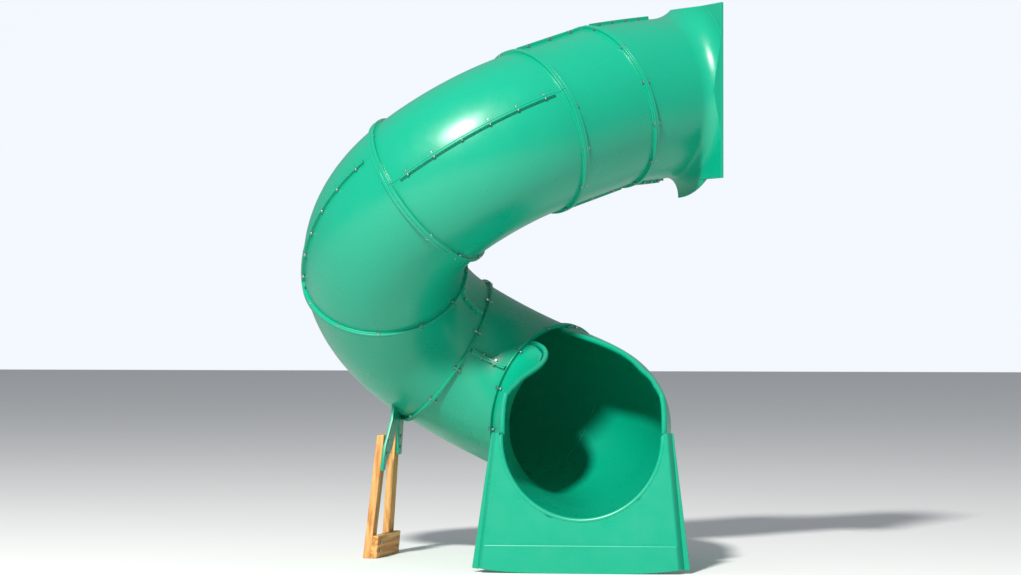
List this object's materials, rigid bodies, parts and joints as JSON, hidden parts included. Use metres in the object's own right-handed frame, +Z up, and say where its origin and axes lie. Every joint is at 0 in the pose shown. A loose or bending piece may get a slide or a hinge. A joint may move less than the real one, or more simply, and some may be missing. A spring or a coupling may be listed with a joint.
{
  "type": "spiral tube slide",
  "caption": "Enclosed spiral tube slide: square panel entrance, flanged half-shell sections, open scoop exit with its foot, and a timber prop.",
  "frame": {"origin": "on the ground, under the middle of the whole slide's box", "axes": "+Z up; the exit points along -Y; the deck panel is on the +X +Y side and faces away from the slide"},
  "size_m": [1.643, 1.2472, 2.1479],
  "materials": {
    "green_plastic": "smooth rotomoulded, semi-gloss",
    "pine": "planed, oiled",
    "zinc_steel": "zinc plated"
  },
  "bodies": {
    "root": {"entrance_half_a": "green_plastic", "entrance_half_b": "green_plastic", "straight_half_a": "green_plastic", "straight_half_b": "green_plastic", "elbow_1_half_a": "green_plastic", "elbow_1_half_b": "green_plastic", "elbow_2_half_a": "green_plastic", "elbow_2_half_b": "green_plastic", "elbow_3_half_a": "green_plastic", "elbow_3_half_b": "green_plastic", "elbow_4_half_a": "green_plastic", "elbow_4_half_b": "green_plastic", "exit_section": "green_plastic", "prop_bracket": "green_plastic", "leg_near": "pine", "leg_far": "pine", "base_board": "pine", "ring_1_bolt_1": "zinc_steel", "ring_1_bolt_2": "zinc_steel", "ring_1_bolt_3": "zinc_steel", "ring_1_bolt_4": "zinc_steel", "ring_2_bolt_1": "zinc_steel", "ring_2_bolt_2": "zinc_steel", "ring_2_bolt_3": "zinc_steel", "ring_2_bolt_4": "zinc_steel", "ring_3_bolt_1": "zinc_steel", "ring_3_bolt_2": "zinc_steel", "ring_3_bolt_3": "zinc_steel", "ring_3_bolt_4": "zinc_steel", "ring_4_bolt_1": "zinc_steel", "ring_4_bolt_2": "zinc_steel", "ring_4_bolt_3": "zinc_steel", "ring_4_bolt_4": "zinc_steel", "ring_5_bolt_1": "zinc_steel", "ring_5_bolt_2": "zinc_steel", "ring_5_bolt_3": "zinc_steel", "ring_5_bolt_4": "zinc_steel", "ring_6_bolt_1": "zinc_steel", "ring_6_bolt_2": "zinc_steel", "ring_6_bolt_3": "zinc_steel", "ring_6_bolt_4": "zinc_steel", "prop_bolt_near_1": "zinc_steel", "prop_bolt_near_2": "zinc_steel", "prop_bolt_near_3": "zinc_steel", "prop_bolt_near_4": "zinc_steel", "prop_bolt_far_1": "zinc_steel", "prop_bolt_far_2": "zinc_steel", "prop_bolt_far_3": "zinc_steel", "prop_bolt_far_4": "zinc_steel"}
  },
  "joints": []
}
